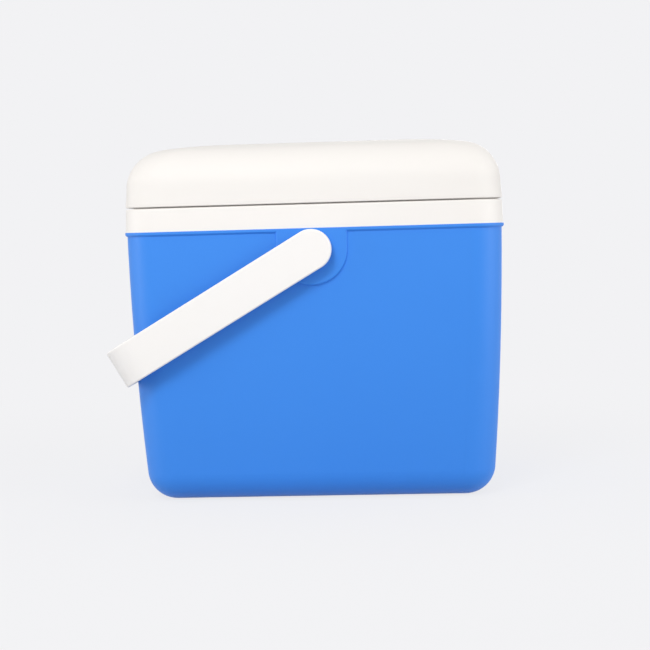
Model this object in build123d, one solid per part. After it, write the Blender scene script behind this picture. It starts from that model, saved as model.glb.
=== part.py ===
from build123d import *
from math import cos, radians, sin, tan
import os

# Vaccine carrier: a foam-filled tub, a lift-off lid and a swing-over carrying handle.
# Millimetres. +X runs along the length, +Z is up, and the origin is the middle of the underside.
# The handle is drawn where it rests, hanging against the -X end wall.

# ---- coolant packs -----------------------------------------------------------------------
# The standard 0.4 litre pack sets the carrier: six stand upright round the vaccine space.
PACK_HEIGHT = 163.0
PACK_WIDTH = 94.0
PACK_THICK = 34.0
PACK_CORNER = 8.0
PACK_EDGE = 5.0
PACK_PANEL_DEEP = 2.0
PACK_PANEL_MARGIN = 12.0
PACK_PANEL_CORNER = 7.0
PACK_BAR = 10.0               # bar left between a face's two panels
PACK_WALL_GAP = 0.6           # pack to cavity wall, at the floor
PACK_END_GAP = 0.4            # end pack's edge to the packs along the sides
PACK_SPACING = 1.0            # between the two packs of a side
PACK_HEADROOM = 2.1           # pack's top to the vial pad's underside
END_PACK_LAP = 12.1           # an end pack stands this far in between the side packs
FILLER_RADIUS = 10.0
FILLER_DEEP = 8.0
FILLER_INSET = 23.0           # pack's side to the filler's middle
PLUG_SUNK = 1.5               # plug's face below the pack's top
PLUG_SLOT_WIDTH = 3.0
PLUG_SLOT_LENGTH = 14.0
PLUG_SLOT_DEEP = 2.5

# ---- inner liner and its collar ----------------------------------------------------------
CAVITY_DRAFT = 2.0            # each wall opens out this far by the mouth
CAVITY_CORNER = 14.0
FLOOR_RADIUS = 4.0
LINER_WALL = 2.4
MOUTH_ROUND = 1.4
COLLAR_HEIGHT = 18.5
COLLAR_FLARE = 0.7            # the collar's foot stands this far outside its top
COLLAR_WALL = 3.0
COLLAR_ROUND = 1.2
COLLAR_INSET = 0.5            # collar's foot to the ledge's edge
RIM_THICK = 2.6

# ---- insulation --------------------------------------------------------------------------
BASE_FOAM = 32.6
SIDE_FOAM = 24.9              # long sides, between the cavity's floor and the shell's top
END_FOAM = 26.9

# ---- outer shell -------------------------------------------------------------------------
SHELL_WALL = 3.0
SHELL_CORNER = 25.0           # plan radius of the four upright corners
SHELL_DRAFT = 2.2             # each wall draws in this far by the base as a straight taper
SHELL_BOW = 8.0               # and curves in this much more
BASE_RADIUS = 24.0            # round lower edge
LEDGE_REACH = 1.7             # how far the ledge stands out from the wall
LEDGE_THICK = 3.2
LEDGE_ROUND = 0.5             # its upper edge
LEDGE_SLOPE = 1.2             # chamfer under its lower edge
UPSTAND_WALL = 3.0            # hidden wall above the ledge, gripped by the collar
UPSTAND_FIT = 0.2             # to the collar's inner face
BASE_PANEL_DEEP = 1.2
BASE_PANEL_CORNER = 8.0
BASE_CROSS = 12.0             # bar left between the four base panels
BASE_MARGIN = 30.0            # from the base outline to a panel

# ---- handle pivots -----------------------------------------------------------------------
PIVOT_DROP = 16.8             # below the ledge's top
PAD_RADIUS = 28.0
PAD_ROUND = 1.6
SOCKET_RADIUS = 7.0
SOCKET_DEEP = 9.0
BOSS_WALL = 4.0               # plastic round and behind a socket
PIN_CLEARANCE = 0.05          # radial
PIN_END_GAP = 0.6
THRUST_GAP = 0.3              # thrust ring to the pad
ARM_GAP = 2.2                 # handle arm to the pad

# ---- lid ---------------------------------------------------------------------------------
LID_BAND = 14.0               # nearly upright band above the seam
LID_LEAN = 0.8                # how far the band draws in
LID_EDGE_RISE = 32.6          # half axes of the ellipse that rounds the lid's edge
LID_EDGE_RUN = 30.0
LID_EDGE_SWEEP = 80.0         # degrees of that ellipse used before the crown takes over
LID_CROWN_RUN = 42.0          # width of the crowned border of the top
LID_CORNER = 26.0
LID_WALL = 2.8
LID_FOOT_ROUND = 0.6
LID_FOOT_GAP = 1.1            # shadow gap between the lid shell and the collar
FLANGE_THICK = 2.6
FLANGE_STEP = 6.0             # the flange rests on the collar from this far inside the lid's outline
TRAY_WALL = 2.4
TRAY_GAP = 1.2                # plug to the cavity wall, at the seam
TRAY_DEPTH = 25.0             # plug's reach below the seam
TRAY_DRAFT = 1.6
TRAY_FOOT_ROUND = 2.0
GASKET_TOP = 5.0              # below the seam
GASKET_HEIGHT = 5.0
GASKET_SEAT = 1.2             # depth of the groove in the plug's wall
GASKET_GAP = 0.4              # to the cavity wall
GASKET_ROUND = 0.8
VIAL_PAD_THICK = 20.0
VIAL_PAD_CORNER = 10.0
VIAL_PAD_PROUD = 7.0          # shows below the plug
VIAL_PAD_MARGIN = 3.4         # its sides to the packs round the compartment
VIAL_PAD_FIT = 0.15           # pad to its recess, each side
SLIT_LENGTH = 24.0
SLIT_WIDTH = 0.8
SLIT_COLUMNS = 4
SLIT_ROWS = 2
SLIT_PITCH_X = 36.0
SLIT_PITCH_Y = 40.0

# ---- carrying handle ---------------------------------------------------------------------
HANDLE_WIDTH = 32.0
HANDLE_THICK = 9.0            # middle of the strap
HANDLE_EDGE_THICK = 5.6       # its two edges, where the inner face has curved away
HANDLE_BEND = 24.0            # outer radius where an arm turns into the grip
HANDLE_ROUND = 1.3
HANDLE_REST = 30.3            # degrees below level at rest
GRIP_REST_GAP = 0.2           # grip's lower edge, before rounding, to the end wall
THRUST_RADIUS = 12.0
RECESS_SKIN = 2.6             # outer skin left behind the recess in each arm
RECESS_WALL = 4.0
RECESS_START = 20.0           # from the pivot
RECESS_END_MARGIN = 34.0      # from the grip's outer face
RECESS_CELLS = 5
RECESS_RIB = 2.0
RECESS_CORNER = 2.5

# ---- sizes that follow from those above --------------------------------------------------
FILLER_OFFSET = PACK_WIDTH / 2 - FILLER_INSET
COMPARTMENT_LENGTH = 2 * (PACK_WIDTH - END_PACK_LAP) + PACK_SPACING
COMPARTMENT_DEPTH = PACK_WIDTH + 2 * PACK_END_GAP
CAVITY_LENGTH = COMPARTMENT_LENGTH + 2 * (PACK_THICK + PACK_WALL_GAP)
CAVITY_DEPTH = COMPARTMENT_DEPTH + 2 * (PACK_THICK + PACK_WALL_GAP)
CAVITY_FLOOR = SHELL_WALL + BASE_FOAM + LINER_WALL
SEAM = CAVITY_FLOOR + PACK_HEIGHT + PACK_HEADROOM + VIAL_PAD_PROUD + TRAY_DEPTH
SHELL_LENGTH = CAVITY_LENGTH + 2 * (LINER_WALL + END_FOAM + SHELL_WALL)
SHELL_DEPTH = CAVITY_DEPTH + 2 * (LINER_WALL + SIDE_FOAM + SHELL_WALL)
SHELL_HEIGHT = SEAM - COLLAR_HEIGHT
LEDGE_LOW = SHELL_HEIGHT - LEDGE_THICK
PAD_FACE = SHELL_DEPTH / 2 + LEDGE_REACH
PIVOT_HEIGHT = SHELL_HEIGHT - PIVOT_DROP
RIM_LOW = SEAM - RIM_THICK
COLLAR_LENGTH = SHELL_LENGTH + 2 * (LEDGE_REACH - COLLAR_INSET)
COLLAR_DEPTH = SHELL_DEPTH + 2 * (LEDGE_REACH - COLLAR_INSET)
COLLAR_CORNER = SHELL_CORNER + LEDGE_REACH - COLLAR_INSET
TRAY_FOOT = SEAM - TRAY_DEPTH
LID_FOOT = SEAM + LID_FOOT_GAP
FLANGE_TOP = LID_FOOT + FLANGE_THICK
VIAL_PAD_LOW = TRAY_FOOT - VIAL_PAD_PROUD


def plan(z, length, depth, radius):
    """A rounded rectangle lying level at height z."""
    return Plane.XY.offset(z) * RectangleRounded(length, depth, radius)


def drum(low, high):
    """Straight-sided body between two plans."""
    return Solid.make_loft([low.wire(), high.wire()], ruled=True)


def round_foot(body, radius):
    return fillet(body.edges().group_by(Axis.Z)[0], radius)


# ---- forms shared by neighbouring pieces -------------------------------------------------
def wall_inset(z):
    """How far the shell's wall has drawn in at height z."""
    fall = 1 - z / SHELL_HEIGHT
    return SHELL_DRAFT * fall + SHELL_BOW * fall**2


def handle_reach():
    """Pivot to the grip's outer face, so that at rest the grip hangs against the end wall."""
    angle = radians(HANDLE_REST)
    half = HANDLE_WIDTH / 2
    touch = PIVOT_HEIGHT - SHELL_LENGTH / 2 * tan(angle) - half * cos(angle)
    wall = SHELL_LENGTH / 2 - wall_inset(touch)
    return (wall + half * sin(angle) + GRIP_REST_GAP) / cos(angle) + HANDLE_EDGE_THICK


def shell_form(low, high, offset):
    """The shell's bowed, drafted outline between two heights, moved inward by offset."""
    sections = []
    for step in range(4):
        z = low + (high - low) * step / 3
        inset = 2 * (wall_inset(z) + offset)
        sections.append(plan(z, SHELL_LENGTH - inset, SHELL_DEPTH - inset, SHELL_CORNER - offset).wire())
    return round_foot(Solid.make_loft(sections), BASE_RADIUS - offset)


def collar_bore(low, high, offset):
    """The straight space inside the collar, moved inward by offset."""
    inset = 2 * (COLLAR_WALL + offset)
    outline = plan(low, COLLAR_LENGTH - inset, COLLAR_DEPTH - inset, COLLAR_CORNER - inset / 2)
    return extrude(outline, high - low)


def core_form():
    """The space the tub's insulation fills, before the liner is let into it."""
    tub = shell_form(SHELL_WALL, LEDGE_LOW, SHELL_WALL)
    return tub + collar_bore(LEDGE_LOW, RIM_LOW, UPSTAND_FIT + UPSTAND_WALL)


def cavity_form(top, offset):
    """The liner's cavity up to the given height, moved outward by offset."""
    def outline(z):
        spread = 2 * (offset + CAVITY_DRAFT * (z - CAVITY_FLOOR) / (SEAM - CAVITY_FLOOR))
        return plan(z, CAVITY_LENGTH + spread, CAVITY_DEPTH + spread, CAVITY_CORNER + offset)
    return round_foot(drum(outline(CAVITY_FLOOR - offset), outline(top)), FLOOR_RADIUS + offset)


def pivot_cylinder(radius, near, far, side):
    """A cylinder on the handle's axis, from near to far along Y, on the given side."""
    return Pos(0, side * (near + far) / 2, PIVOT_HEIGHT) * Rot(90, 0, 0) * Cylinder(radius, far - near)


def pivot_bosses():
    """Plastic round the two blind sockets, standing into the insulation."""
    radius = SOCKET_RADIUS + BOSS_WALL
    depth = SOCKET_DEEP + BOSS_WALL
    return [pivot_cylinder(radius, PAD_FACE - depth, PAD_FACE - LEDGE_REACH, side) for side in (-1, 1)]


# ---- tub ---------------------------------------------------------------------------------
def pivot_pad():
    """The U-shaped pad on the -Y wall, flush with the ledge above it."""
    rise = LEDGE_LOW + LEDGE_THICK / 2 - PIVOT_HEIGHT
    lower = Circle(PAD_RADIUS) & Pos(0, -PAD_RADIUS / 2) * Rectangle(2 * PAD_RADIUS, PAD_RADIUS)
    outline = lower + Pos(0, rise / 2) * Rectangle(2 * PAD_RADIUS, rise)
    deep = LEDGE_REACH + SHELL_WALL + 1
    pad = Pos(0, deep - PAD_FACE, PIVOT_HEIGHT) * extrude(Plane.XZ * outline, deep)
    rim = pad.faces().sort_by(Axis.Y)[0].edges().sort_by(Axis.Z)[:-1]
    return fillet(rim, PAD_ROUND)


def base_panels():
    """Four shallow recesses that leave a cross and a border for the tub to stand on."""
    length = (SHELL_LENGTH - 2 * (wall_inset(0) + BASE_MARGIN) - BASE_CROSS) / 2
    depth = (SHELL_DEPTH - 2 * (wall_inset(0) + BASE_MARGIN) - BASE_CROSS) / 2
    outline = RectangleRounded(length, depth, BASE_PANEL_CORNER)
    grid = GridLocations(length + BASE_CROSS, depth + BASE_CROSS, 2, 2)
    return extrude(Sketch() + [place * outline for place in grid], BASE_PANEL_DEEP)


def make_outer_shell():
    body = Part() + shell_form(0, LEDGE_LOW + LEDGE_THICK / 2, 0)
    length, depth = SHELL_LENGTH + 2 * LEDGE_REACH, SHELL_DEPTH + 2 * LEDGE_REACH
    ledge = extrude(plan(LEDGE_LOW, length, depth, SHELL_CORNER + LEDGE_REACH), LEDGE_THICK)
    ledge = chamfer(ledge.edges().group_by(Axis.Z)[0], LEDGE_SLOPE)
    body += fillet(ledge.edges().group_by(Axis.Z)[-1], LEDGE_ROUND)
    pad = pivot_pad()
    body += [pad, mirror(pad, Plane.XZ)]
    body += collar_bore(LEDGE_LOW, RIM_LOW, UPSTAND_FIT)
    body -= core_form()
    body += pivot_bosses()
    body -= [pivot_cylinder(SOCKET_RADIUS, PAD_FACE - SOCKET_DEEP, PAD_FACE + 1, side) for side in (-1, 1)]
    return body - base_panels()


def make_body_insulation():
    return core_form() - cavity_form(RIM_LOW, LINER_WALL) - pivot_bosses()


def make_inner_liner():
    """Tub, rim and collar in one moulding; the collar's foot sits on the shell's ledge."""
    flare = 2 * COLLAR_FLARE
    foot = plan(SHELL_HEIGHT, COLLAR_LENGTH, COLLAR_DEPTH, COLLAR_CORNER)
    top = plan(SEAM, COLLAR_LENGTH - flare, COLLAR_DEPTH - flare, COLLAR_CORNER)
    collar = drum(foot, top)
    collar = fillet(collar.edges().group_by(Axis.Z)[-1], COLLAR_ROUND)
    body = Part() + collar - collar_bore(SHELL_HEIGHT, RIM_LOW, 0)
    body += cavity_form(RIM_LOW + RIM_THICK / 2, LINER_WALL)
    body -= cavity_form(SEAM, 0)
    mouth = body.edges().group_by(Axis.Z)[-1].filter_by(lambda edge: abs(edge.center().Y) < CAVITY_DEPTH / 2 + 3)
    mouth = mouth.filter_by(lambda edge: abs(edge.center().X) < CAVITY_LENGTH / 2 + 3)
    return fillet(mouth, MOUTH_ROUND)


# ---- coolant packs -----------------------------------------------------------------------
def make_pack():
    """A pack standing on the XY plane, its broad faces toward -Y and +Y."""
    body = Pos(0, 0, PACK_HEIGHT / 2) * Box(PACK_WIDTH, PACK_THICK, PACK_HEIGHT)
    body = fillet(body.edges().filter_by(Axis.Z), PACK_CORNER)
    body = fillet(body.edges().group_by(Axis.Z)[0] + body.edges().group_by(Axis.Z)[-1], PACK_EDGE)
    width = PACK_WIDTH - 2 * PACK_PANEL_MARGIN
    height = (PACK_HEIGHT - 2 * PACK_PANEL_MARGIN - PACK_BAR) / 2
    panel = RectangleRounded(width, height, PACK_PANEL_CORNER)
    for side in (-1, 1):
        face = Plane((0, side * PACK_THICK / 2, PACK_HEIGHT / 2), x_dir=(1, 0, 0), z_dir=(0, side, 0))
        for rise in (-1, 1):
            pocket = Pos(0, rise * (height + PACK_BAR) / 2) * panel
            body -= extrude(face * pocket, -PACK_PANEL_DEEP)
    return body - Pos(FILLER_OFFSET, 0, PACK_HEIGHT - FILLER_DEEP / 2) * Cylinder(FILLER_RADIUS, FILLER_DEEP)


def make_filler_plug():
    """The welded plug in a pack's filler, with the slot it is turned by."""
    height = FILLER_DEEP - PLUG_SUNK
    plug = Pos(0, 0, height / 2) * Cylinder(FILLER_RADIUS, height)
    slot = Pos(0, 0, height - PLUG_SLOT_DEEP / 2) * Box(PLUG_SLOT_LENGTH, PLUG_SLOT_WIDTH, PLUG_SLOT_DEEP)
    return Pos(FILLER_OFFSET, 0, PACK_HEIGHT - FILLER_DEEP) * (plug - slot)


def pack_places():
    """Where the six packs stand: two along each long wall and one across each end."""
    wall_x = (COMPARTMENT_LENGTH + PACK_THICK) / 2
    wall_y = (COMPARTMENT_DEPTH + PACK_THICK) / 2
    along = (PACK_WIDTH + PACK_SPACING) / 2
    return {
        "front_left": Pos(-along, -wall_y, CAVITY_FLOOR),
        "front_right": Pos(along, -wall_y, CAVITY_FLOOR),
        "back_left": Pos(-along, wall_y, CAVITY_FLOOR) * Rot(0, 0, 180),
        "back_right": Pos(along, wall_y, CAVITY_FLOOR) * Rot(0, 0, 180),
        "end_left": Pos(-wall_x, 0, CAVITY_FLOOR) * Rot(0, 0, -90),
        "end_right": Pos(wall_x, 0, CAVITY_FLOOR) * Rot(0, 0, 90),
    }


# ---- lid ---------------------------------------------------------------------------------
def lid_profile(offset):
    """Height above the lid's foot and inset from its outline, up the band, edge and crown."""
    rise, run = LID_EDGE_RISE - offset, LID_EDGE_RUN - offset
    points = [(0, offset), (LID_BAND / 2, offset + LID_LEAN / 2)]
    for step in range(7):
        angle = radians(LID_EDGE_SWEEP * step / 6)
        points.append((LID_BAND + rise * sin(angle), offset + LID_LEAN + run * (1 - cos(angle))))
    height, inset = points[-1]
    slope = rise * cos(angle) / (run * sin(angle))
    for step in range(1, 5):
        share = step / 4
        points.append((height + slope * LID_CROWN_RUN * (share - share**2 / 2), inset + LID_CROWN_RUN * share))
    return points


def lid_outline(z, inset, corner):
    """Plan of the lid at the given height, drawn in by inset from the collar's top."""
    spread = 2 * (COLLAR_FLARE + inset)
    return plan(z, COLLAR_LENGTH - spread, COLLAR_DEPTH - spread, corner)


def lid_form(offset):
    """The domed lid above its foot, moved inward by offset."""
    sections = []
    for height, inset in lid_profile(offset):
        sections.append(lid_outline(LID_FOOT + height, inset, LID_CORNER - offset).wire())
    return Solid.make_loft(sections)


def lid_space(low, high):
    """The hollow of the lid shell between two heights."""
    slab = extrude(plan(low, COLLAR_LENGTH, COLLAR_DEPTH, COLLAR_CORNER), high - low)
    return slab & lid_form(LID_WALL)


def tray_form(low, high, offset):
    """The plug that closes the mouth, between two heights, moved inward by offset."""
    def outline(z):
        inset = 2 * (TRAY_GAP - CAVITY_DRAFT + offset + TRAY_DRAFT * (SEAM - z) / TRAY_DEPTH)
        return plan(z, CAVITY_LENGTH - inset, CAVITY_DEPTH - inset, CAVITY_CORNER - TRAY_GAP - offset)
    return drum(outline(low), outline(high))


def vial_pad_block(low, high, offset):
    """The pad's block between two heights, moved outward by offset."""
    inset = 2 * (VIAL_PAD_MARGIN - offset)
    outline = plan(low, COMPARTMENT_LENGTH - inset, COMPARTMENT_DEPTH - inset, VIAL_PAD_CORNER + offset)
    return extrude(outline, high - low)


def recess_housing():
    """Walls and ceiling round the vial pad, standing inside the plug."""
    high = VIAL_PAD_LOW + VIAL_PAD_THICK + TRAY_WALL
    return vial_pad_block(TRAY_FOOT, high, VIAL_PAD_FIT + TRAY_WALL)


def pad_recess():
    return vial_pad_block(VIAL_PAD_LOW, VIAL_PAD_LOW + VIAL_PAD_THICK, VIAL_PAD_FIT)


def gasket_ring():
    """Ring seated in the groove round the plug, standing out almost to the cavity wall."""
    low = SEAM - GASKET_TOP - GASKET_HEIGHT
    inset = 2 * (TRAY_GAP + GASKET_SEAT - CAVITY_DRAFT)
    inner = plan(low, CAVITY_LENGTH - inset, CAVITY_DEPTH - inset, CAVITY_CORNER - TRAY_GAP - GASKET_SEAT)
    spread = 2 * (CAVITY_DRAFT * (low - CAVITY_FLOOR) / (SEAM - CAVITY_FLOOR) - GASKET_GAP)
    outer = plan(low, CAVITY_LENGTH + spread, CAVITY_DEPTH + spread, CAVITY_CORNER - GASKET_GAP)
    ring = extrude(outer, GASKET_HEIGHT)
    ring = fillet(ring.edges().group_by(Axis.Z)[0] + ring.edges().group_by(Axis.Z)[-1], GASKET_ROUND)
    return ring - extrude(inner, GASKET_HEIGHT)


def make_lid_shell():
    body = round_foot(lid_form(0), LID_FOOT_ROUND)
    return Part() + body - lid_form(LID_WALL)


def make_lid_tray():
    """Flange, plug and pad recess in one moulding; the flange's step rests on the collar."""
    step = extrude(lid_outline(SEAM, FLANGE_STEP, LID_CORNER - FLANGE_STEP), LID_FOOT_GAP)
    body = round_foot(tray_form(TRAY_FOOT, LID_FOOT, 0), TRAY_FOOT_ROUND) + step
    body += lid_space(LID_FOOT, FLANGE_TOP)
    body -= tray_form(TRAY_FOOT + TRAY_WALL, FLANGE_TOP, TRAY_WALL)
    body += recess_housing()
    return body - pad_recess() - gasket_ring()


def make_lid_insulation():
    top = lid_form(LID_WALL).bounding_box().max.Z
    body = lid_space(FLANGE_TOP, top + LID_WALL) + tray_form(TRAY_FOOT + TRAY_WALL, FLANGE_TOP, TRAY_WALL)
    return body - recess_housing()


def make_vial_pad():
    """Soft block with a cross of slits for each row of vials."""
    pad = vial_pad_block(VIAL_PAD_LOW, VIAL_PAD_LOW + VIAL_PAD_THICK, 0)
    slit = Rectangle(SLIT_LENGTH, SLIT_WIDTH) + Rectangle(SLIT_WIDTH, SLIT_LENGTH)
    grid = GridLocations(SLIT_PITCH_X, SLIT_PITCH_Y, SLIT_COLUMNS, SLIT_ROWS)
    slits = extrude(Plane.XY.offset(VIAL_PAD_LOW) * (Sketch() + [place * slit for place in grid]), VIAL_PAD_THICK)
    return pad - slits


# ---- carrying handle ---------------------------------------------------------------------
def strap_section():
    """Across the strap: flat outside at y = 0, crowned inside."""
    half = HANDLE_WIDTH / 2
    outside = Polyline((-half, HANDLE_EDGE_THICK), (-half, 0), (half, 0), (half, HANDLE_EDGE_THICK))
    crown = ThreePointArc((half, HANDLE_EDGE_THICK), (0, HANDLE_THICK), (-half, HANDLE_EDGE_THICK))
    return make_face([outside, crown])


def arm_recesses(outer, reach):
    """Ribbed hollows in the inner face of both arms."""
    width = HANDLE_WIDTH - 2 * RECESS_WALL
    pitch = (reach - RECESS_END_MARGIN - RECESS_START + RECESS_RIB) / RECESS_CELLS
    cell = RectangleRounded(width, pitch - RECESS_RIB, RECESS_CORNER)
    cells = Sketch() + [Pos(0, RECESS_START + pitch * (step + 0.5) - RECESS_RIB / 2) * cell
                        for step in range(RECESS_CELLS)]
    hollow = extrude(Plane.XZ.offset(-outer + RECESS_SKIN) * cells, HANDLE_THICK)
    return [hollow, mirror(hollow, Plane.XZ)]


def make_carry_handle():
    """One strap swept up an arm, across the grip and down the other arm, then laid at rest."""
    outer = PAD_FACE + ARM_GAP + HANDLE_THICK
    reach = handle_reach()
    half = HANDLE_WIDTH / 2
    path = FilletPolyline((0, -outer, -half), (0, -outer, reach), (0, outer, reach),
                          (0, outer, -half), radius=HANDLE_BEND)
    start = Plane((0, -outer, -half), x_dir=(1, 0, 0), z_dir=(0, 0, 1))
    strap = sweep(start * strap_section(), path=path)
    ends = Circle(half) + Pos(0, reach) * Rectangle(HANDLE_WIDTH, 2 * reach)
    strap &= extrude(Plane.XZ * ends, outer, both=True)

    def is_rim(edge):
        middle = edge @ 0.5
        return edge.length > HANDLE_THICK and (abs(middle.X) > 1 or middle.Z < 0)

    strap = fillet(strap.edges().filter_by(is_rim), HANDLE_ROUND) - arm_recesses(outer, reach)
    handle = Pos(0, 0, PIVOT_HEIGHT) * Rot(0, -90 - HANDLE_REST, 0) * strap
    pin_end = PAD_FACE - SOCKET_DEEP + PIN_END_GAP
    for side in (-1, 1):
        handle += pivot_cylinder(THRUST_RADIUS, PAD_FACE + THRUST_GAP, outer - RECESS_SKIN, side)
        handle += pivot_cylinder(SOCKET_RADIUS - PIN_CLEARANCE, pin_end, outer - RECESS_SKIN, side)
    return handle


# ---- all pieces --------------------------------------------------------------------------
def make_pieces():
    pieces = {
        "outer_shell": make_outer_shell(),
        "body_insulation": make_body_insulation(),
        "inner_liner": make_inner_liner(),
        "lid_shell": make_lid_shell(),
        "lid_insulation": make_lid_insulation(),
        "lid_tray": make_lid_tray(),
        "lid_gasket": gasket_ring(),
        "vial_pad": make_vial_pad(),
        "carry_handle": make_carry_handle(),
    }
    pack, plug = make_pack(), make_filler_plug()
    for name, place in pack_places().items():
        pieces[f"coolant_pack_{name}"] = place * pack
        pieces[f"filler_plug_{name}"] = place * plug
    return pieces


os.makedirs("parts", exist_ok=True)
for name, piece in make_pieces().items():
    export_step(piece, f"parts/{name}.step")
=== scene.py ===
from math import pi, radians

import bmesh
import bpy
from mathutils import Matrix, Vector


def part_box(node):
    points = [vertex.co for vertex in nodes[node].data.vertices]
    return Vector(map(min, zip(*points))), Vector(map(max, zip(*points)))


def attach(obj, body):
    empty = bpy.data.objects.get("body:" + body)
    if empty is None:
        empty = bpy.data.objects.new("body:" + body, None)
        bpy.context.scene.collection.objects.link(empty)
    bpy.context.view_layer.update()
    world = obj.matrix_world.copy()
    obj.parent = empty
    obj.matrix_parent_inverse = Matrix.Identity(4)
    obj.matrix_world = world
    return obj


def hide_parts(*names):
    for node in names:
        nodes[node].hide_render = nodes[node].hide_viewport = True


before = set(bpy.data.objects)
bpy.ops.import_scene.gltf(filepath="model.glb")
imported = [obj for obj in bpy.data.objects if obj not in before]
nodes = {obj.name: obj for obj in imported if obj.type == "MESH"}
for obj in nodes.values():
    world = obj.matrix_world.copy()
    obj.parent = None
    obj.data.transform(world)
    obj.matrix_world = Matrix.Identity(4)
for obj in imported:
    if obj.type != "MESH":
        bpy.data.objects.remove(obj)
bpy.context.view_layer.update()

# ---- camera ------------------------------------------------------------------------------
# Stands a little to the right of the carrier, level with its collar, and looks slightly
# down and left. A long lens keeps the sides of the tub nearly parallel.
PICTURE_SIDE = 650
FOCAL_PIXELS = 1500
LENS_SENSOR = 36.0
LENS_REACH = (0.05, 40)
CAMERA_PLACE = (0.0838, -1.2820, 0.2193)
LOOK_LEFT = radians(3.670)
LOOK_DOWN = radians(3.851)
LEAN = radians(-1.608)

lens = bpy.data.cameras.new("product_lens")
lens.sensor_width = LENS_SENSOR
lens.lens = LENS_SENSOR * FOCAL_PIXELS / PICTURE_SIDE
lens.clip_start, lens.clip_end = LENS_REACH
camera = bpy.data.objects.new("product_camera", lens)
bpy.context.scene.collection.objects.link(camera)
turned = Matrix.Rotation(LOOK_LEFT, 4, "Z")
tipped = Matrix.Rotation(pi / 2 - LOOK_DOWN, 4, "X")
leant = Matrix.Rotation(LEAN, 4, "Z")
aim = turned @ tipped @ leant
camera.matrix_world = Matrix.Translation(CAMERA_PLACE) @ aim
bpy.context.scene.camera = camera

# ---- outer shell -------------------------------------------------------------------------
# Injection-moulded blue polyethylene tub with its ledge and handle pads, in one piece.
# The mould leaves a fine, even grain and a faint drift of tone over the broad walls.
SHELL_BLUE = (0.036, 0.260, 0.860, 1)
SHELL_BLUE_DEEP = (0.031, 0.245, 0.832, 1)
TONE_PATCHES = 7               # per metre
GRAIN_MIX = 0.6
GRAIN_STRENGTH = 0.5
SCUFF_TURN = (0.3, 0.5, 0.4)   # the way the scuffs run, in radians about each axis
SCUFF_STRETCH = (14, 330, 40)  # scuffs per metre along each turned axis: long, fine, medium
SCUFF_LINE = (0.60, 0.72)      # only the noise's peaks are scuffs
SCUFF_PATCHES = 16             # per metre
SCUFF_AREA = (0.50, 0.68)      # and only some patches are scuffed
GLOSS_DRIFT = 0.05
PLASTIC_IOR = 1.5


def add_node(tree, kind, **settings):
    """Add a node with its own settings."""
    node = tree.nodes.new(kind)
    for name, value in settings.items():
        setattr(node, name, value)
    return node


def add_noise(tree, place, scale, detail):
    """Noise over a place, at so many patches per metre."""
    node = add_node(tree, "ShaderNodeTexNoise")
    node.inputs["Scale"].default_value = scale
    node.inputs["Detail"].default_value = detail
    tree.links.new(place, node.inputs["Vector"])
    return node


def combine(tree, operation, first, second, **settings):
    """Combine two values by a Math operation."""
    node = add_node(tree, "ShaderNodeMath", operation=operation, **settings)
    tree.links.new(first, node.inputs[0])
    tree.links.new(second, node.inputs[1])
    return node.outputs[0]


def rise(tree, value, start, full):
    """Rise from 0 to 1 as a value goes from start to full."""
    node = add_node(tree, "ShaderNodeMapRange")
    node.inputs["From Min"].default_value = start
    node.inputs["From Max"].default_value = full
    tree.links.new(value, node.inputs["Value"])
    return node.outputs["Result"]


def spread(tree, value, low, high):
    """Stretch a 0..1 value over the range low..high."""
    node = add_node(tree, "ShaderNodeMapRange")
    node.inputs["To Min"].default_value = low
    node.inputs["To Max"].default_value = high
    tree.links.new(value, node.inputs["Value"])
    return node.outputs["Result"]


def mix_colours(tree, share, first, second):
    """Go from the first colour to the second as share goes from 0 to 1."""
    node = add_node(tree, "ShaderNodeMix", data_type="RGBA")
    node.inputs["A"].default_value = first
    node.inputs["B"].default_value = second
    tree.links.new(share, node.inputs["Factor"])
    return node.outputs["Result"]


def raise_surface(tree, height, strength, depth):
    """Feed a height pattern to the material's normal, depth in metres."""
    bump = add_node(tree, "ShaderNodeBump")
    bump.inputs["Strength"].default_value = strength
    bump.inputs["Distance"].default_value = depth
    tree.links.new(height, bump.inputs["Height"])
    tree.links.new(bump.outputs["Normal"], tree.nodes["Principled BSDF"].inputs["Normal"])


def new_group(name, inputs, outputs):
    """An empty shader group with named float inputs and outputs."""
    tree = bpy.data.node_groups.new(name, "ShaderNodeTree")
    for label in inputs:
        tree.interface.new_socket(label, in_out="INPUT", socket_type="NodeSocketFloat")
    for label in outputs:
        tree.interface.new_socket(label, in_out="OUTPUT", socket_type="NodeSocketFloat")
    return tree, tree.nodes.new("NodeGroupInput"), tree.nodes.new("NodeGroupOutput")


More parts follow.
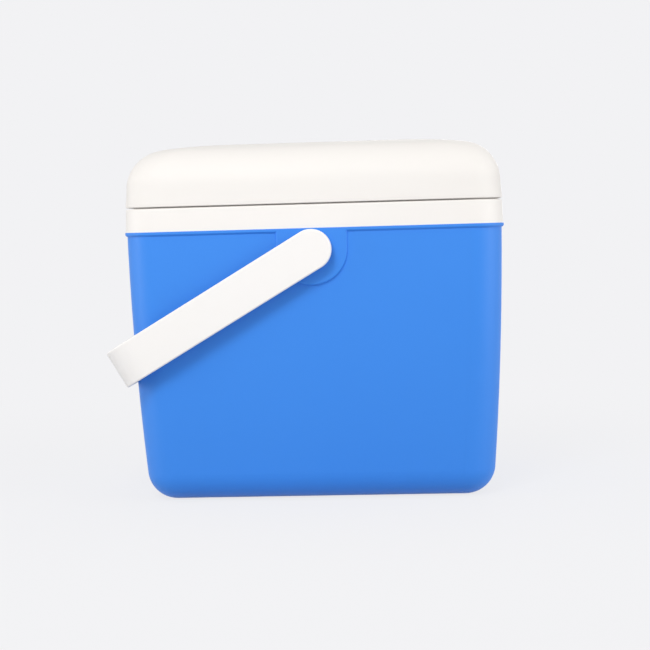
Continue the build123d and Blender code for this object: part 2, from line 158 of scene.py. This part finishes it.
def moulded_skin_group():
    """Tone drift, fine grain and light scuffing of a moulded plastic skin."""
    tree, taken, given = new_group("moulded_skin", ["Grain per metre", "Scuff amount"],
                                   ["Tone", "Grain", "Scuff"])
    place = add_node(tree, "ShaderNodeTexCoord").outputs["Object"]

    drift = add_noise(tree, place, scale=TONE_PATCHES, detail=3)
    tree.links.new(drift.outputs["Fac"], given.inputs["Tone"])

    grain = add_noise(tree, place, scale=1, detail=2)
    grain.inputs["Roughness"].default_value = GRAIN_MIX
    tree.links.new(taken.outputs["Grain per metre"], grain.inputs["Scale"])
    tree.links.new(grain.outputs["Fac"], given.inputs["Grain"])

    drawn = add_node(tree, "ShaderNodeMapping")
    drawn.inputs["Rotation"].default_value = SCUFF_TURN
    drawn.inputs["Scale"].default_value = SCUFF_STRETCH
    tree.links.new(place, drawn.inputs["Vector"])
    streaks = add_noise(tree, drawn.outputs["Vector"], scale=1, detail=2)
    patches = add_noise(tree, place, scale=SCUFF_PATCHES, detail=2)
    lines = rise(tree, streaks.outputs["Fac"], *SCUFF_LINE)
    worn_areas = rise(tree, patches.outputs["Fac"], *SCUFF_AREA)
    scuffs = combine(tree, "MULTIPLY", lines, worn_areas)
    scuffs = combine(tree, "MULTIPLY", scuffs, taken.outputs["Scuff amount"])
    tree.links.new(scuffs, given.inputs["Scuff"])
    return tree


moulded_skin = moulded_skin_group()


def moulded_plastic(name, colour, deep_colour, roughness, grain, grain_depth, scuff):
    """Satin moulded plastic: two close tones, fine grain, and scuffs that only dull the gloss."""
    material = bpy.data.materials.new(name)
    material.use_nodes = True
    tree = material.node_tree
    shader = tree.nodes["Principled BSDF"]
    skin = add_node(tree, "ShaderNodeGroup", node_tree=moulded_skin)
    skin.inputs["Grain per metre"].default_value = grain
    skin.inputs["Scuff amount"].default_value = scuff

    tone = mix_colours(tree, skin.outputs["Tone"], colour, deep_colour)
    tree.links.new(tone, shader.inputs["Base Color"])

    gloss = spread(tree, skin.outputs["Tone"], roughness - GLOSS_DRIFT, roughness + GLOSS_DRIFT)
    worn = combine(tree, "ADD", gloss, skin.outputs["Scuff"], use_clamp=True)
    tree.links.new(worn, shader.inputs["Roughness"])

    raise_surface(tree, skin.outputs["Grain"], GRAIN_STRENGTH, grain_depth)
    shader.inputs["IOR"].default_value = PLASTIC_IOR
    return material


def finish_node(name, material):
    """Give a CAD solid its finish."""
    mesh = nodes[name].data
    mesh.materials.clear()
    mesh.materials.append(material)


shell_plastic = moulded_plastic("shell_plastic", SHELL_BLUE, SHELL_BLUE_DEEP,
                                roughness=0.50, grain=1500, grain_depth=0.00006, scuff=0.12)
finish_node("outer_shell", shell_plastic)

# ---- tub insulation ----------------------------------------------------------------------
# Rigid polyurethane foamed in place between shell and liner, so it has no surface of its own
# outside. It is cream coloured, with fine closed cells and a few larger blow holes.
FOAM_CREAM = (0.80, 0.66, 0.38, 1)
# The darker foam colour is painted shade, laid in the middle of each blow hole.
FOAM_HOLE_SHADE = (0.66, 0.50, 0.26, 1)
HOLE_SHARE = 0.12              # blow holes for each cell, along a line
HOLE_RIM = 0.22                # where a hole's dark middle has faded out
CELL_STRENGTH = 0.7
CELL_GLOSS_DRIFT = 0.06
FOAM_SHINE = 0.3


def foam_cells_group():
    """Closed foam cells: their height, and the odd larger hole."""
    tree, taken, given = new_group("foam_cells", ["Cells per metre"], ["Cell", "Hole"])
    place = add_node(tree, "ShaderNodeTexCoord").outputs["Object"]
    cells = add_node(tree, "ShaderNodeTexVoronoi")
    holes = add_node(tree, "ShaderNodeTexVoronoi")
    coarse = add_node(tree, "ShaderNodeMath", operation="MULTIPLY")
    coarse.inputs[1].default_value = HOLE_SHARE
    tree.links.new(place, cells.inputs["Vector"])
    tree.links.new(place, holes.inputs["Vector"])
    tree.links.new(taken.outputs["Cells per metre"], cells.inputs["Scale"])
    tree.links.new(taken.outputs["Cells per metre"], coarse.inputs[0])
    tree.links.new(coarse.outputs[0], holes.inputs["Scale"])
    tree.links.new(cells.outputs["Distance"], given.inputs["Cell"])
    tree.links.new(rise(tree, holes.outputs["Distance"], 0, HOLE_RIM), given.inputs["Hole"])
    return tree


foam_cells = foam_cells_group()


def cellular_foam(name, colour, shade, cells, depth, roughness):
    """Closed-cell foam: painted shade darkens the middle of its holes, dull all over."""
    material = bpy.data.materials.new(name)
    material.use_nodes = True
    tree = material.node_tree
    shader = tree.nodes["Principled BSDF"]
    pattern = add_node(tree, "ShaderNodeGroup", node_tree=foam_cells)
    pattern.inputs["Cells per metre"].default_value = cells

    tone = mix_colours(tree, pattern.outputs["Hole"], shade, colour)
    tree.links.new(tone, shader.inputs["Base Color"])

    low, high = roughness - CELL_GLOSS_DRIFT, roughness + CELL_GLOSS_DRIFT
    tree.links.new(spread(tree, pattern.outputs["Cell"], low, high), shader.inputs["Roughness"])

    relief = combine(tree, "MULTIPLY", pattern.outputs["Cell"], pattern.outputs["Hole"])
    raise_surface(tree, relief, CELL_STRENGTH, depth)
    shader.inputs["Specular IOR Level"].default_value = FOAM_SHINE
    return material


rigid_foam = cellular_foam("rigid_foam", FOAM_CREAM, FOAM_HOLE_SHADE,
                           cells=1100, depth=0.0003, roughness=0.85)
finish_node("body_insulation", rigid_foam)

# ---- inner liner and collar --------------------------------------------------------------
# Smooth white plastic tub whose rim turns out and down into the collar that fits over the
# shell. The lid and the handle are this same warm white, the lid's darkened as painted shade and
# the handle's lightened as painted light.
WARM_WHITE = (0.915, 0.883, 0.848, 1)
WARM_WHITE_DEEP = (0.900, 0.868, 0.832, 1)

liner_plastic = moulded_plastic("liner_plastic", WARM_WHITE, WARM_WHITE_DEEP,
                                roughness=0.50, grain=1100, grain_depth=0.00004, scuff=0.10)
finish_node("inner_liner", liner_plastic)

# ---- coolant packs -----------------------------------------------------------------------
# Blow-moulded polyethylene bottles full of water, milky and faintly blue. The skin is thin
# enough for light to sink in and soften the panels' edges.
PACK_MILK = (0.60, 0.76, 0.90, 1)
PACK_MILK_DEEP = (0.52, 0.70, 0.87, 1)
MILK_SHARE = 0.35
MILK_DEPTH = 0.006
MILK_SPREAD = (0.5, 0.8, 1.0)  # red sinks in least far and blue farthest
PACK_PLACES = ("front_left", "front_right", "back_left", "back_right", "end_left", "end_right")

pack_plastic = moulded_plastic("pack_plastic", PACK_MILK, PACK_MILK_DEEP,
                               roughness=0.34, grain=700, grain_depth=0.00008, scuff=0.25)
pack_shader = pack_plastic.node_tree.nodes["Principled BSDF"]
pack_shader.inputs["Subsurface Weight"].default_value = MILK_SHARE
pack_shader.inputs["Subsurface Radius"].default_value = MILK_SPREAD
pack_shader.inputs["Subsurface Scale"].default_value = MILK_DEPTH
for pack_place in PACK_PLACES:
    finish_node(f"coolant_pack_{pack_place}", pack_plastic)

# ---- filler plugs ------------------------------------------------------------------------
# Hard blue plugs, one in each pack. Each is turned in by its slot, and then spun until it
# welds to the pack.
PLUG_BLUE = (0.045, 0.150, 0.520, 1)
PLUG_BLUE_DEEP = (0.038, 0.130, 0.470, 1)

plug_plastic = moulded_plastic("plug_plastic", PLUG_BLUE, PLUG_BLUE_DEEP,
                               roughness=0.38, grain=1800, grain_depth=0.00004, scuff=0.20)
for pack_place in PACK_PLACES:
    finish_node(f"filler_plug_{pack_place}", plug_plastic)

# ---- lid shell ---------------------------------------------------------------------------
# The domed white lid, moulded in one piece with a soft crown and generously rounded edges.
# Its skin is a little duller than the collar's, so its broad crown takes no hard highlight.
# Painted shade: the lid's white is set darker than the collar's, so that its crown, which catches
# the most light, stays as white as the rest.
LID_SHADED_WHITE = (0.882, 0.851, 0.816, 1)
LID_SHADED_WHITE_DEEP = (0.868, 0.836, 0.800, 1)

lid_plastic = moulded_plastic("lid_plastic", LID_SHADED_WHITE, LID_SHADED_WHITE_DEEP,
                              roughness=0.62, grain=1100, grain_depth=0.00004, scuff=0.10)
finish_node("lid_shell", lid_plastic)

# ---- lid insulation ----------------------------------------------------------------------
# The same rigid foam as the tub's, foamed in place in the dome of the lid. The tray shuts it
# in from below, so it is never seen in use.
finish_node("lid_insulation", rigid_foam)

# ---- lid tray ----------------------------------------------------------------------------
# White flange and plug that close the lid from below, with a recess for the vial pad. It is
# moulded in the liner's plastic, and its flange snaps into the lid shell.
finish_node("lid_tray", liner_plastic)

# ---- lid gasket --------------------------------------------------------------------------
# Soft grey rubber ring stretched into a groove round the plug. Talc from the mould leaves
# the rubber dull and slightly blotched.
RUBBER_GREY = (0.30, 0.31, 0.32, 1)
RUBBER_TALC = (0.37, 0.38, 0.39, 1)
RUBBER_SHINE = 0.35

seal_rubber = moulded_plastic("seal_rubber", RUBBER_GREY, RUBBER_TALC,
                              roughness=0.68, grain=2600, grain_depth=0.00005, scuff=0.15)
rubber_shader = seal_rubber.node_tree.nodes["Principled BSDF"]
rubber_shader.inputs["Specular IOR Level"].default_value = RUBBER_SHINE
finish_node("lid_gasket", seal_rubber)

# ---- vial pad ----------------------------------------------------------------------------
# Soft grey closed-cell foam cut from sheet, with crossed slits that grip opened vials.
# Its edges round over where the knife drags the foam, and each slit stands a little open.
PAD_CORNER = 0.010
PAD_ROUND = 0.0022
PAD_CROWN = 0.0009             # how far the middle of the faces stands above their edges
PAD_CROWN_RUN = 0.030          # and how far in from an edge they have levelled out
PAD_STEP = 0.003
SLIT_HALF = 0.012
SLIT_OPEN = 0.0006
SLIT_DEEP = 0.004
SLIT_PITCH_X = 0.036
SLIT_PITCH_Y = 0.040
SLIT_XS = [SLIT_PITCH_X * place for place in (-1.5, -0.5, 0.5, 1.5)]
SLIT_YS = [SLIT_PITCH_Y * place for place in (-0.5, 0.5)]
ON_LINE = 1e-6                 # a point this near a slit's line lies on it
# The darker of the pad's two greys is painted shade, laid in the middle of each foam hole.
PAD_HOLE_SHADE_GREY = (0.105, 0.115, 0.130, 1)
PAD_GREY_PALE = (0.150, 0.160, 0.178, 1)


def grid_lines(low, high, slits):
    """Evenly spaced lines from low to high, with three close ones at every slit."""
    count = round((high - low) / PAD_STEP)
    lines = [low + (high - low) * step / count for step in range(count + 1)]
    lines = [line for line in lines if all(abs(line - slit) > 2 * SLIT_OPEN for slit in slits)]
    for slit in slits:
        lines += [slit - SLIT_OPEN, slit, slit + SLIT_OPEN]
    return sorted(lines)


def round_corner(x, y, half_x, half_y):
    """Pull a grid point near one of the pad's corners in to its rounded outline."""
    over_x = abs(x) - (half_x - PAD_CORNER)
    over_y = abs(y) - (half_y - PAD_CORNER)
    if over_x <= 0 or over_y <= 0:
        return x, y
    shrink = max(over_x, over_y) / (over_x**2 + over_y**2) ** 0.5
    round_x = (half_x - PAD_CORNER + over_x * shrink) * (1 if x > 0 else -1)
    round_y = (half_y - PAD_CORNER + over_y * shrink) * (1 if y > 0 else -1)
    return round_x, round_y


def edge_distance(x, y, half_x, half_y):
    """How far inside the pad's rounded outline a point lies."""
    over_x = max(abs(x) - (half_x - PAD_CORNER), 0)
    over_y = max(abs(y) - (half_y - PAD_CORNER), 0)
    if over_x and over_y:
        return PAD_CORNER - (over_x**2 + over_y**2) ** 0.5
    return min(half_x - abs(x), half_y - abs(y))


def in_slit(x, y):
    """Whether a grid point lies on the line of a slit."""
    for slit_x in SLIT_XS:
        for slit_y in SLIT_YS:
            across, along = abs(x - slit_x), abs(y - slit_y)
            if (across < ON_LINE and along < SLIT_HALF) or (along < ON_LINE and across < SLIT_HALF):
                return True
    return False


def face_drop(x, y, half_x, half_y):
    """How far the pad's face lies below its highest level: rounded edge and crown."""
    inside = max(edge_distance(x, y, half_x, half_y), 0)
    fall = PAD_ROUND - (PAD_ROUND**2 - max(PAD_ROUND - inside, 0) ** 2) ** 0.5
    swell = PAD_CROWN * (1 - min(inside / PAD_CROWN_RUN, 1)) ** 2
    return fall + swell


def slit_foam_block(low, high):
    """The pad as two faced grids, pulled in at the outline, crowned, and nicked at the slits."""
    centre = [(a + b) / 2 for a, b in zip(low, high)]
    half = [(b - a) / 2 for a, b in zip(low, high)]
    xs = grid_lines(-half[0], half[0], SLIT_XS)
    ys = grid_lines(-half[1], half[1], SLIT_YS)
    last_i, last_j = len(xs) - 1, len(ys) - 1
    mesh = bmesh.new()

    points = {}
    for side in (-1, 1):
        for i, x in enumerate(xs):
            for j, y in enumerate(ys):
                px, py = round_corner(x, y, half[0], half[1])
                depth = half[2] - face_drop(px, py, half[0], half[1])
                if in_slit(x, y):
                    depth -= SLIT_DEEP
                spot = (centre[0] + px, centre[1] + py, centre[2] + side * depth)
                points[side, i, j] = mesh.verts.new(spot)

    for side in (-1, 1):
        for i in range(last_i):
            for j in range(last_j):
                steps = [(i, j), (i + 1, j), (i + 1, j + 1), (i, j + 1)]
                ring = [points[side, *step] for step in steps]
                mesh.faces.new(ring if side > 0 else ring[::-1])

    rim = [(i, 0) for i in range(last_i)]
    rim += [(last_i, j) for j in range(last_j)]
    rim += [(i, last_j) for i in range(last_i, 0, -1)]
    rim += [(0, j) for j in range(last_j, 0, -1)]
    for here, there in zip(rim, rim[1:] + rim[:1]):
        mesh.faces.new([points[-1, *here], points[-1, *there], points[1, *there], points[1, *here]])

    data = bpy.data.meshes.new("slit_vial_pad")
    mesh.to_mesh(data)
    mesh.free()
    data.polygons.foreach_set("use_smooth", [True] * len(data.polygons))
    return data


pad_foam = cellular_foam("pad_foam", PAD_GREY_PALE, PAD_HOLE_SHADE_GREY,
                         cells=1500, depth=0.00025, roughness=0.88)
vial_pad = bpy.data.objects.new("slit_vial_pad", slit_foam_block(*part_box("vial_pad")))
bpy.context.scene.collection.objects.link(vial_pad)
vial_pad.data.materials.append(pad_foam)
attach(vial_pad, "lid")
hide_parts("vial_pad")

# ---- carrying handle ---------------------------------------------------------------------
# One white strap moulding with ribbed hollows on its inner side. Its two pins are sprung
# into the sockets in the shell's pads, so nothing shows from outside.
# Painted light: the handle's white is set lighter than the collar's, to make up for the light that
# its arms miss.
HANDLE_LIT_WHITE = (0.952, 0.928, 0.905, 1)
HANDLE_LIT_WHITE_DEEP = (0.938, 0.912, 0.886, 1)

handle_plastic = moulded_plastic("handle_plastic", HANDLE_LIT_WHITE, HANDLE_LIT_WHITE_DEEP,
                                 roughness=0.50, grain=1100, grain_depth=0.00004, scuff=0.15)
finish_node("carry_handle", handle_plastic)

# ---- floor and backdrop ------------------------------------------------------------------
# A pale sweep that fades into the plain backdrop a little way out, and keeps a soft contact
# shadow under the carrier. Seen directly it is almost as light as the backdrop, but the
# carrier is lit by a greyer floor, which throws less light up its walls.
BACKDROP = (0.888, 0.888, 0.905, 1)
FLOOR_PAINT = 0.62             # how pale the floor is for the light that it throws back
FLOOR_SEEN = 0.92              # and how pale where it is seen directly
FLOOR_HALF = 6.0
FLOOR_DROP = 0.0003            # keeps the floor from lying in the plane of the base
FADE_START, FADE_END = 0.22, 0.75
NEAR_GLOW = 0.88               # share of backdrop colour in the floor near the carrier

floor_mesh = bpy.data.meshes.new("studio_floor")
corners = [(FLOOR_HALF * x, FLOOR_HALF * y, 0) for x, y in ((-1, -1), (1, -1), (1, 1), (-1, 1))]
floor_mesh.from_pydata(corners, [], [(0, 1, 2, 3)])
floor = bpy.data.objects.new("studio_floor", floor_mesh)
floor.location.z = -FLOOR_DROP
bpy.context.scene.collection.objects.link(floor)


def seen_rays(tree):
    """1 for rays that show the surroundings: seen directly, in a gloss, or through a clear part."""
    path = add_node(tree, "ShaderNodeLightPath")
    seen = combine(tree, "MAXIMUM", path.outputs["Is Camera Ray"], path.outputs["Is Glossy Ray"])
    return combine(tree, "MAXIMUM", seen, path.outputs["Is Transmission Ray"])


def show_by_share(tree, share, first, second, output):
    """Go from the first shader to the second as share goes from 0 to 1."""
    blend = add_node(tree, "ShaderNodeMixShader")
    tree.links.new(share, blend.inputs["Fac"])
    tree.links.new(first.outputs[0], blend.inputs[1])
    tree.links.new(second.outputs[0], blend.inputs[2])
    tree.links.new(blend.outputs[0], tree.nodes[output].inputs["Surface"])


floor_paint = bpy.data.materials.new("floor_paint")
floor_paint.use_nodes = True
floor_tree = floor_paint.node_tree
floor_tree.nodes.remove(floor_tree.nodes["Principled BSDF"])
matt = add_node(floor_tree, "ShaderNodeBsdfDiffuse")
glow = add_node(floor_tree, "ShaderNodeEmission")
glow.inputs["Color"].default_value = BACKDROP
floor_place = add_node(floor_tree, "ShaderNodeTexCoord").outputs["Object"]
away = add_node(floor_tree, "ShaderNodeVectorMath", operation="LENGTH")
floor_tree.links.new(floor_place, away.inputs[0])
fade = add_node(floor_tree, "ShaderNodeMapRange", interpolation_type="SMOOTHSTEP")
fade.inputs["From Min"].default_value = FADE_START
fade.inputs["From Max"].default_value = FADE_END
fade.inputs["To Min"].default_value = NEAR_GLOW
floor_tree.links.new(away.outputs["Value"], fade.inputs["Value"])
floor_seen = seen_rays(floor_tree)
paint = spread(floor_tree, floor_seen, FLOOR_PAINT, FLOOR_SEEN)
floor_tree.links.new(paint, matt.inputs["Color"])
glow_share = combine(floor_tree, "MULTIPLY", floor_seen, fade.outputs["Result"])
show_by_share(floor_tree, glow_share, matt, glow, "Material Output")
floor_mesh.materials.append(floor_paint)

# ---- light -------------------------------------------------------------------------------
# Even white surroundings. A small lamp high in front on the left throws the handle's soft
# shadow down the wall, and broad panels keep the ends and the back as light as the front.
AMBIENT = 0.58
AIR_WHITE = (1, 1, 1, 1)
LAMP_AIM = (0, 0, 0.14)
LAMPS = {
    "key_lamp": {"place": (-0.20, -0.91, 0.81), "side": 0.34, "power": 4.75},
    "left_panel": {"place": (-1.10, -0.35, 0.12), "side": 0.50, "power": 2.6},
    "right_panel": {"place": (1.22, -0.40, 0.40), "side": 0.80, "power": 4.8},
    "back_panel": {"place": (0.25, 1.35, 0.34), "side": 0.60, "power": 7.2},
}

air = bpy.data.worlds.new("studio_air")
bpy.context.scene.world = air
air.use_nodes = True
seen_air = air.node_tree.nodes["Background"]
seen_air.inputs["Color"].default_value = BACKDROP
lit_air = add_node(air.node_tree, "ShaderNodeBackground")
lit_air.inputs["Color"].default_value = AIR_WHITE
lit_air.inputs["Strength"].default_value = AMBIENT
show_by_share(air.node_tree, seen_rays(air.node_tree), lit_air, seen_air, "World Output")

for name, settings in LAMPS.items():
    light = bpy.data.lights.new(name, "AREA")
    light.shape = "SQUARE"
    light.size = settings["side"]
    light.energy = settings["power"]
    lamp = bpy.data.objects.new(name, light)
    bpy.context.scene.collection.objects.link(lamp)
    lamp.location = settings["place"]
    lamp.rotation_euler = (Vector(LAMP_AIM) - lamp.location).to_track_quat("-Z", "Y").to_euler()
    lamp.visible_camera = False

bpy.context.scene.view_settings.view_transform = "Standard"
